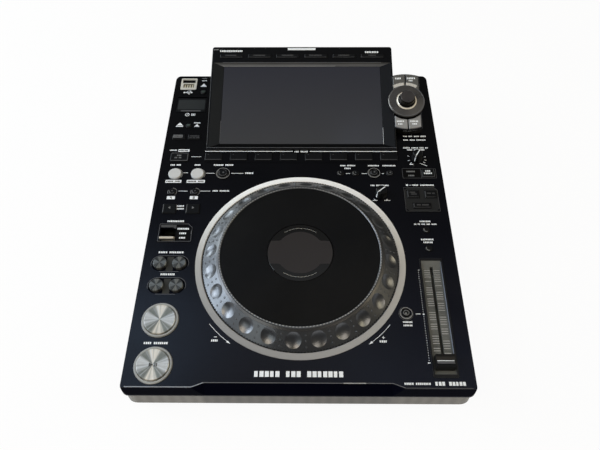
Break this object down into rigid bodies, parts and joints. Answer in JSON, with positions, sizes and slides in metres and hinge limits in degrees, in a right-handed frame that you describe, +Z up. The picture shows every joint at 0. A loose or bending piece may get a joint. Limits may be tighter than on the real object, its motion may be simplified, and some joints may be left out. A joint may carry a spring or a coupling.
{
  "type": "tabletop media player for disc jockeys",
  "caption": "Wedge-shaped tabletop player with a large dimpled jog wheel, raised tilting touch screen, rotary selector, tempo slider, round and square keys, media sockets and rear connectors.",
  "frame": {"origin": "middle of the bounding box's footprint, at the level of the feet", "axes": "+X to the user's right, +Y away from the user to the rear, +Z up"},
  "size_m": [0.329, 0.453, 0.1177],
  "materials": {
    "case_black": "fine satin grain",
    "pan_dark": "taupe satin on the front band, dark below",
    "rear_black": "satin",
    "housing_black": "fine satin",
    "screen_glass": "smooth dark glass over a display",
    "trim_silver": "turned, satin",
    "jog_rubberised": "satin lacquer",
    "platter_black": "matte with faint turned grooves",
    "display_window": "clear window over a dark display",
    "post_grey": "moulded",
    "board_green": "printed board",
    "supply_tan": "printed board with cans",
    "socket_grey": "satin",
    "track_grey": "satin",
    "socket_black": "satin, gilt barrels",
    "rubber_black": "matte",
    "cap_silver": "satin silver",
    "cap_grey": "satin grey",
    "cap_dark": "satin dark",
    "lever_cream": "satin cream",
    "fader_black": "satin with a white line",
    "selector_black": "satin rubber-like rim",
    "shaft_steel": "turned"
  },
  "bodies": {
    "chassis": {"base_pan": "pan_dark", "top_case": "case_black", "rear_panel": "rear_black", "screen_housing": "housing_black", "touch_screen": "screen_glass", "jog_trim_ring": "trim_silver", "jog_post": "post_grey", "jog_display": "display_window", "control_board": "board_green", "main_board": "board_green", "power_supply": "supply_tan", "media_sockets": "socket_grey", "slider_track": "track_grey", "rear_sockets": "socket_black", "button_collars": "trim_silver", "feet": "rubber_black"},
    "jog_wheel": {"jog_ring": "jog_rubberised", "jog_platter": "platter_black"},
    "play_button_body": {"play_button": "cap_silver"},
    "cue_button_body": {"cue_button": "cap_silver"},
    "search_back_body": {"search_back": "cap_grey"},
    "search_forward_body": {"search_forward": "cap_grey"},
    "track_back_body": {"track_back": "cap_grey"},
    "track_forward_body": {"track_forward": "cap_grey"},
    "beat_jump_back_body": {"beat_jump_back": "cap_dark"},
    "beat_jump_forward_body": {"beat_jump_forward": "cap_dark"},
    "beat_loop_keys_body": {"beat_loop_keys": "cap_dark"},
    "loop_in_body": {"loop_in": "cap_silver"},
    "loop_out_body": {"loop_out": "cap_silver"},
    "reloop_button_body": {"reloop_button": "cap_grey"},
    "slip_button_body": {"slip_button": "cap_dark"},
    "mode_keys_body": {"mode_keys": "cap_dark"},
    "media_stop_keys_body": {"media_stop_keys": "cap_grey"},
    "hot_cue_1_body": {"hot_cue_1": "cap_dark"},
    "hot_cue_2_body": {"hot_cue_2": "cap_dark"},
    "hot_cue_3_body": {"hot_cue_3": "cap_dark"},
    "hot_cue_4_body": {"hot_cue_4": "cap_dark"},
    "hot_cue_5_body": {"hot_cue_5": "cap_dark"},
    "hot_cue_6_body": {"hot_cue_6": "cap_dark"},
    "hot_cue_7_body": {"hot_cue_7": "cap_dark"},
    "hot_cue_8_body": {"hot_cue_8": "cap_dark"},
    "call_keys_body": {"call_keys": "cap_grey"},
    "delete_button_body": {"delete_button": "cap_grey"},
    "memory_button_body": {"memory_button": "cap_grey"},
    "jog_mode_button_body": {"jog_mode_button": "cap_dark"},
    "sync_keys_body": {"sync_keys": "cap_dark"},
    "tempo_keys_body": {"tempo_keys": "cap_grey"},
    "browse_key_front_left_body": {"browse_key_front_left": "cap_grey"},
    "browse_key_front_right_body": {"browse_key_front_right": "cap_grey"},
    "browse_key_rear_left_body": {"browse_key_rear_left": "cap_dark"},
    "browse_key_rear_right_body": {"browse_key_rear_right": "cap_dark"},
    "menu_keys_body": {"menu_keys": "cap_dark"},
    "direction_lever_body": {"direction_lever": "lever_cream"},
    "jog_adjust_knob_body": {"jog_adjust_knob": "cap_dark"},
    "vinyl_speed_knob_body": {"vinyl_speed_knob": "cap_dark"},
    "tempo_cap_body": {"tempo_cap": "fader_black"},
    "card_door_body": {"card_door": "cap_dark"},
    "selector_shaft_body": {"selector_shaft": "shaft_steel"},
    "selector_knob_body": {"selector_knob": "selector_black"},
    "power_switch_body": {"power_switch": "cap_dark"}
  },
  "joints": [
    {"name": "jog_spin", "type": "hinge", "parent": "chassis", "child": "jog_wheel", "pos_m": [0.001, -0.08602, 0.0534], "axis": [0, -0.0872, 0.9962], "continuous": true},
    {"name": "play_button_press", "type": "slide", "parent": "chassis", "child": "play_button_body", "axis": [0, 0.0872, -0.9962], "range_m": [0, 0.001], "stiffness_N_per_m": 250, "springref_m": -0.0008},
    {"name": "cue_button_press", "type": "slide", "parent": "chassis", "child": "cue_button_body", "axis": [0, 0.0872, -0.9962], "range_m": [0, 0.001], "stiffness_N_per_m": 250, "springref_m": -0.0008},
    {"name": "search_back_press", "type": "slide", "parent": "chassis", "child": "search_back_body", "axis": [0, 0.0872, -0.9962], "range_m": [0, 0.001], "stiffness_N_per_m": 250, "springref_m": -0.0005},
    {"name": "search_forward_press", "type": "slide", "parent": "chassis", "child": "search_forward_body", "axis": [0, 0.0872, -0.9962], "range_m": [0, 0.001], "stiffness_N_per_m": 250, "springref_m": -0.0005},
    {"name": "track_back_press", "type": "slide", "parent": "chassis", "child": "track_back_body", "axis": [0, 0.0872, -0.9962], "range_m": [0, 0.001], "stiffness_N_per_m": 250, "springref_m": -0.0005},
    {"name": "track_forward_press", "type": "slide", "parent": "chassis", "child": "track_forward_body", "axis": [0, 0.0872, -0.9962], "range_m": [0, 0.001], "stiffness_N_per_m": 250, "springref_m": -0.0005},
    {"name": "beat_jump_back_press", "type": "slide", "parent": "chassis", "child": "beat_jump_back_body", "axis": [0, 0.0872, -0.9962], "range_m": [0, 0.001], "stiffness_N_per_m": 250, "springref_m": -0.0005},
    {"name": "beat_jump_forward_press", "type": "slide", "parent": "chassis", "child": "beat_jump_forward_body", "axis": [0, 0.0872, -0.9962], "range_m": [0, 0.001], "stiffness_N_per_m": 250, "springref_m": -0.0005},
    {"name": "beat_loop_keys_press", "type": "slide", "parent": "chassis", "child": "beat_loop_keys_body", "axis": [0, 0.0872, -0.9962], "range_m": [0, 0.001], "stiffness_N_per_m": 250, "springref_m": -0.0005},
    {"name": "loop_in_press", "type": "slide", "parent": "chassis", "child": "loop_in_body", "axis": [0, 0.0872, -0.9962], "range_m": [0, 0.001], "stiffness_N_per_m": 250, "springref_m": -0.0005},
    {"name": "loop_out_press", "type": "slide", "parent": "chassis", "child": "loop_out_body", "axis": [0, 0.0872, -0.9962], "range_m": [0, 0.001], "stiffness_N_per_m": 250, "springref_m": -0.0005},
    {"name": "reloop_button_press", "type": "slide", "parent": "chassis", "child": "reloop_button_body", "axis": [0, 0.0872, -0.9962], "range_m": [0, 0.001], "stiffness_N_per_m": 250, "springref_m": -0.0005},
    {"name": "slip_button_press", "type": "slide", "parent": "chassis", "child": "slip_button_body", "axis": [0, 0.0872, -0.9962], "range_m": [0, 0.001], "stiffness_N_per_m": 250, "springref_m": -0.0005},
    {"name": "mode_keys_press", "type": "slide", "parent": "chassis", "child": "mode_keys_body", "axis": [0, 0.0872, -0.9962], "range_m": [0, 0.001], "stiffness_N_per_m": 250, "springref_m": -0.0005},
    {"name": "media_stop_keys_press", "type": "slide", "parent": "chassis", "child": "media_stop_keys_body", "axis": [0, 0.0872, -0.9962], "range_m": [0, 0.001], "stiffness_N_per_m": 250, "springref_m": -0.0005},
    {"name": "hot_cue_1_press", "type": "slide", "parent": "chassis", "child": "hot_cue_1_body", "axis": [0, 0.0872, -0.9962], "range_m": [0, 0.001], "stiffness_N_per_m": 250, "springref_m": -0.0005},
    {"name": "hot_cue_2_press", "type": "slide", "parent": "chassis", "child": "hot_cue_2_body", "axis": [0, 0.0872, -0.9962], "range_m": [0, 0.001], "stiffness_N_per_m": 250, "springref_m": -0.0005},
    {"name": "hot_cue_3_press", "type": "slide", "parent": "chassis", "child": "hot_cue_3_body", "axis": [0, 0.0872, -0.9962], "range_m": [0, 0.001], "stiffness_N_per_m": 250, "springref_m": -0.0005},
    {"name": "hot_cue_4_press", "type": "slide", "parent": "chassis", "child": "hot_cue_4_body", "axis": [0, 0.0872, -0.9962], "range_m": [0, 0.001], "stiffness_N_per_m": 250, "springref_m": -0.0005},
    {"name": "hot_cue_5_press", "type": "slide", "parent": "chassis", "child": "hot_cue_5_body", "axis": [0, 0.0872, -0.9962], "range_m": [0, 0.001], "stiffness_N_per_m": 250, "springref_m": -0.0005},
    {"name": "hot_cue_6_press", "type": "slide", "parent": "chassis", "child": "hot_cue_6_body", "axis": [0, 0.0872, -0.9962], "range_m": [0, 0.001], "stiffness_N_per_m": 250, "springref_m": -0.0005},
    {"name": "hot_cue_7_press", "type": "slide", "parent": "chassis", "child": "hot_cue_7_body", "axis": [0, 0.0872, -0.9962], "range_m": [0, 0.001], "stiffness_N_per_m": 250, "springref_m": -0.0005},
    {"name": "hot_cue_8_press", "type": "slide", "parent": "chassis", "child": "hot_cue_8_body", "axis": [0, 0.0872, -0.9962], "range_m": [0, 0.001], "stiffness_N_per_m": 250, "springref_m": -0.0005},
    {"name": "call_keys_press", "type": "slide", "parent": "chassis", "child": "call_keys_body", "axis": [0, 0.0872, -0.9962], "range_m": [0, 0.001], "stiffness_N_per_m": 250, "springref_m": -0.0005},
    {"name": "delete_button_press", "type": "slide", "parent": "chassis", "child": "delete_button_body", "axis": [0, 0.0872, -0.9962], "range_m": [0, 0.001], "stiffness_N_per_m": 250, "springref_m": -0.0005},
    {"name": "memory_button_press", "type": "slide", "parent": "chassis", "child": "memory_button_body", "axis": [0, 0.0872, -0.9962], "range_m": [0, 0.001], "stiffness_N_per_m": 250, "springref_m": -0.0005},
    {"name": "jog_mode_button_press", "type": "slide", "parent": "chassis", "child": "jog_mode_button_body", "axis": [0, 0.0872, -0.9962], "range_m": [0, 0.001], "stiffness_N_per_m": 250, "springref_m": -0.0005},
    {"name": "sync_keys_press", "type": "slide", "parent": "chassis", "child": "sync_keys_body", "axis": [0, 0.0872, -0.9962], "range_m": [0, 0.001], "stiffness_N_per_m": 250, "springref_m": -0.0005},
    {"name": "tempo_keys_press", "type": "slide", "parent": "chassis", "child": "tempo_keys_body", "axis": [0, 0.0872, -0.9962], "range_m": [0, 0.001], "stiffness_N_per_m": 250, "springref_m": -0.0005},
    {"name": "browse_key_front_left_press", "type": "slide", "parent": "chassis", "child": "browse_key_front_left_body", "axis": [0, 0.3338, -0.9426], "range_m": [0, 0.0006], "stiffness_N_per_m": 250, "springref_m": -0.0005},
    {"name": "browse_key_front_right_press", "type": "slide", "parent": "chassis", "child": "browse_key_front_right_body", "axis": [0, 0.3338, -0.9426], "range_m": [0, 0.0006], "stiffness_N_per_m": 250, "springref_m": -0.0005},
    {"name": "browse_key_rear_left_press", "type": "slide", "parent": "chassis", "child": "browse_key_rear_left_body", "axis": [0, 0.3338, -0.9426], "range_m": [0, 0.0006], "stiffness_N_per_m": 250, "springref_m": -0.0005},
    {"name": "browse_key_rear_right_press", "type": "slide", "parent": "chassis", "child": "browse_key_rear_right_body", "axis": [0, 0.3338, -0.9426], "range_m": [0, 0.0006], "stiffness_N_per_m": 250, "springref_m": -0.0005},
    {"name": "menu_keys_press", "type": "slide", "parent": "chassis", "child": "menu_keys_body", "axis": [0, 0.3338, -0.9426], "range_m": [0, 0.0006], "stiffness_N_per_m": 400, "springref_m": -0.0005},
    {"name": "direction_tilt", "type": "hinge", "parent": "chassis", "child": "direction_lever_body", "pos_m": [-0.1428, -0.05435, 0.04713], "axis": [-1, 0, 0], "range_deg": [0, 51]},
    {"name": "jog_adjust_turn", "type": "hinge", "parent": "chassis", "child": "jog_adjust_knob_body", "pos_m": [0.0914, -0.00045, 0.06088], "axis": [0, 0.0872, -0.9962], "range_deg": [-135, 135]},
    {"name": "vinyl_speed_turn", "type": "hinge", "parent": "chassis", "child": "vinyl_speed_knob_body", "pos_m": [0.1375, 0.05295, 0.06556], "axis": [0, 0.0872, -0.9962], "range_deg": [0, 270]},
    {"name": "tempo_slide", "type": "slide", "parent": "chassis", "child": "tempo_cap_body", "axis": [0, 0.9962, 0.0872], "range_m": [0, 0.1]},
    {"name": "card_door_swing", "type": "hinge", "parent": "chassis", "child": "card_door_body", "pos_m": [-0.139, 0.1528, 0.07279], "axis": [-1, 0, 0], "range_deg": [0, 100]},
    {"name": "selector_push", "type": "slide", "parent": "chassis", "child": "selector_shaft_body", "axis": [0, 0.3338, -0.9426], "range_m": [0, 0.0005], "stiffness_N_per_m": 900, "springref_m": -0.001},
    {"name": "selector_turn", "type": "hinge", "parent": "selector_shaft_body", "child": "selector_knob_body", "pos_m": [0.129, 0.124, 0.09074], "axis": [0, -0.3338, 0.9426], "continuous": true},
    {"name": "power_rocker", "type": "hinge", "parent": "chassis", "child": "power_switch_body", "pos_m": [-0.092, 0.211, 0.032], "axis": [1, 0, 0], "range_deg": [0, 14]}
  ]
}
